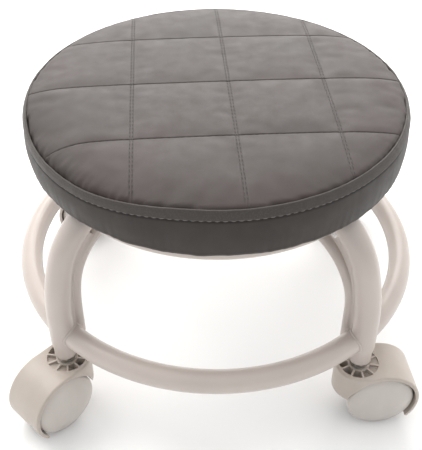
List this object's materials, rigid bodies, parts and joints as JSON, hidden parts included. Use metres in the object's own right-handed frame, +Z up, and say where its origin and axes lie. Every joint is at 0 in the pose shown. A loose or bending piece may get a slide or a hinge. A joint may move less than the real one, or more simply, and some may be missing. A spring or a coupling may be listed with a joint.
{
  "type": "pedicure stool",
  "caption": "Low rolling stool: round quilted seat pad on a tubular steel frame with a foot ring and hooded twin-wheel swivel casters.",
  "frame": {"origin": "on the floor under the middle of the seat, at the wheels' contact height", "axes": "+Z up, -Y towards the front, +X to the sitter's right as seen from the front"},
  "size_m": [0.3282, 0.3282, 0.233],
  "materials": {
    "frame_paint": "satin warm-white powder coat on steel tube",
    "zinc_steel": "zinc-plated steel",
    "caster_shell": "beige moulded nylon, satin",
    "caster_wheel": "grey-beige moulded nylon, smooth satin",
    "seat_vinyl": "warm grey coated upholstery vinyl, soft sheen",
    "band_vinyl": "warm grey coated upholstery vinyl with a fine woven grain",
    "foam": "cut polyurethane foam",
    "plywood": "raw plywood",
    "lining_cloth": "black non-woven dust cloth"
  },
  "bodies": {
    "frame": {"foot_ring": "frame_paint", "top_ring": "frame_paint", "upper_brace": "frame_paint", "lower_brace": "frame_paint", "seat_tabs": "frame_paint", "screw_washers": "zinc_steel", "seat_screws": "zinc_steel", "t_nuts": "zinc_steel", "hem_staples": "zinc_steel", "grip_rings": "zinc_steel", "seat_board": "plywood", "seat_lining": "lining_cloth", "seat_foam": "foam", "seat_top_panel": "seat_vinyl", "seat_side_band": "band_vinyl", "leg_front_left": "frame_paint", "leg_plug_front_left": "zinc_steel", "stem_front_left": "zinc_steel", "leg_front_right": "frame_paint", "leg_plug_front_right": "zinc_steel", "stem_front_right": "zinc_steel", "leg_back_right": "frame_paint", "leg_plug_back_right": "zinc_steel", "stem_back_right": "zinc_steel", "leg_back_left": "frame_paint", "leg_plug_back_left": "zinc_steel", "stem_back_left": "zinc_steel"},
    "caster_front_left": {"hood_front_left": "caster_shell", "bush_front_left": "zinc_steel", "axle_front_left": "zinc_steel"},
    "wheel_a_front_left": {"wheel_a_front_left": "caster_wheel"},
    "wheel_b_front_left": {"wheel_b_front_left": "caster_wheel"},
    "caster_front_right": {"hood_front_right": "caster_shell", "bush_front_right": "zinc_steel", "axle_front_right": "zinc_steel"},
    "wheel_a_front_right": {"wheel_a_front_right": "caster_wheel"},
    "wheel_b_front_right": {"wheel_b_front_right": "caster_wheel"},
    "caster_back_right": {"hood_back_right": "caster_shell", "bush_back_right": "zinc_steel", "axle_back_right": "zinc_steel"},
    "wheel_a_back_right": {"wheel_a_back_right": "caster_wheel"},
    "wheel_b_back_right": {"wheel_b_back_right": "caster_wheel"},
    "caster_back_left": {"hood_back_left": "caster_shell", "bush_back_left": "zinc_steel", "axle_back_left": "zinc_steel"},
    "wheel_a_back_left": {"wheel_a_back_left": "caster_wheel"},
    "wheel_b_back_left": {"wheel_b_back_left": "caster_wheel"}
  },
  "joints": [
    {"name": "swivel_front_left", "type": "hinge", "parent": "frame", "child": "caster_front_left", "pos_m": [-0.11278, -0.11278, 0.045], "axis": [0, 0, 1], "continuous": true},
    {"name": "spin_a_front_left", "type": "hinge", "parent": "caster_front_left", "child": "wheel_a_front_left", "pos_m": [-0.12416, -0.12542, 0.026], "axis": [0.7431, -0.6691, 0], "continuous": true},
    {"name": "spin_b_front_left", "type": "hinge", "parent": "caster_front_left", "child": "wheel_b_front_left", "pos_m": [-0.12416, -0.12542, 0.026], "axis": [0.7431, -0.6691, 0], "continuous": true},
    {"name": "swivel_front_right", "type": "hinge", "parent": "frame", "child": "caster_front_right", "pos_m": [0.11278, -0.11278, 0.045], "axis": [0, 0, 1], "continuous": true},
    {"name": "spin_a_front_right", "type": "hinge", "parent": "caster_front_right", "child": "wheel_a_front_right", "pos_m": [0.12964, -0.11056, 0.026], "axis": [-0.1305, 0.9914, 0], "continuous": true},
    {"name": "spin_b_front_right", "type": "hinge", "parent": "caster_front_right", "child": "wheel_b_front_right", "pos_m": [0.12964, -0.11056, 0.026], "axis": [-0.1305, 0.9914, 0], "continuous": true},
    {"name": "swivel_back_right", "type": "hinge", "parent": "frame", "child": "caster_back_right", "pos_m": [0.11278, 0.11278, 0.045], "axis": [0, 0, 1], "continuous": true},
    {"name": "spin_a_back_right", "type": "hinge", "parent": "caster_back_right", "child": "wheel_a_back_right", "pos_m": [0.12416, 0.12542, 0.026], "axis": [-0.7431, 0.6691, 0], "continuous": true},
    {"name": "spin_b_back_right", "type": "hinge", "parent": "caster_back_right", "child": "wheel_b_back_right", "pos_m": [0.12416, 0.12542, 0.026], "axis": [-0.7431, 0.6691, 0], "continuous": true},
    {"name": "swivel_back_left", "type": "hinge", "parent": "frame", "child": "caster_back_left", "pos_m": [-0.11278, 0.11278, 0.045], "axis": [0, 0, 1], "continuous": true},
    {"name": "spin_a_back_left", "type": "hinge", "parent": "caster_back_left", "child": "wheel_a_back_left", "pos_m": [-0.12964, 0.11056, 0.026], "axis": [0.1305, -0.9914, 0], "continuous": true},
    {"name": "spin_b_back_left", "type": "hinge", "parent": "caster_back_left", "child": "wheel_b_back_left", "pos_m": [-0.12964, 0.11056, 0.026], "axis": [0.1305, -0.9914, 0], "continuous": true}
  ]
}
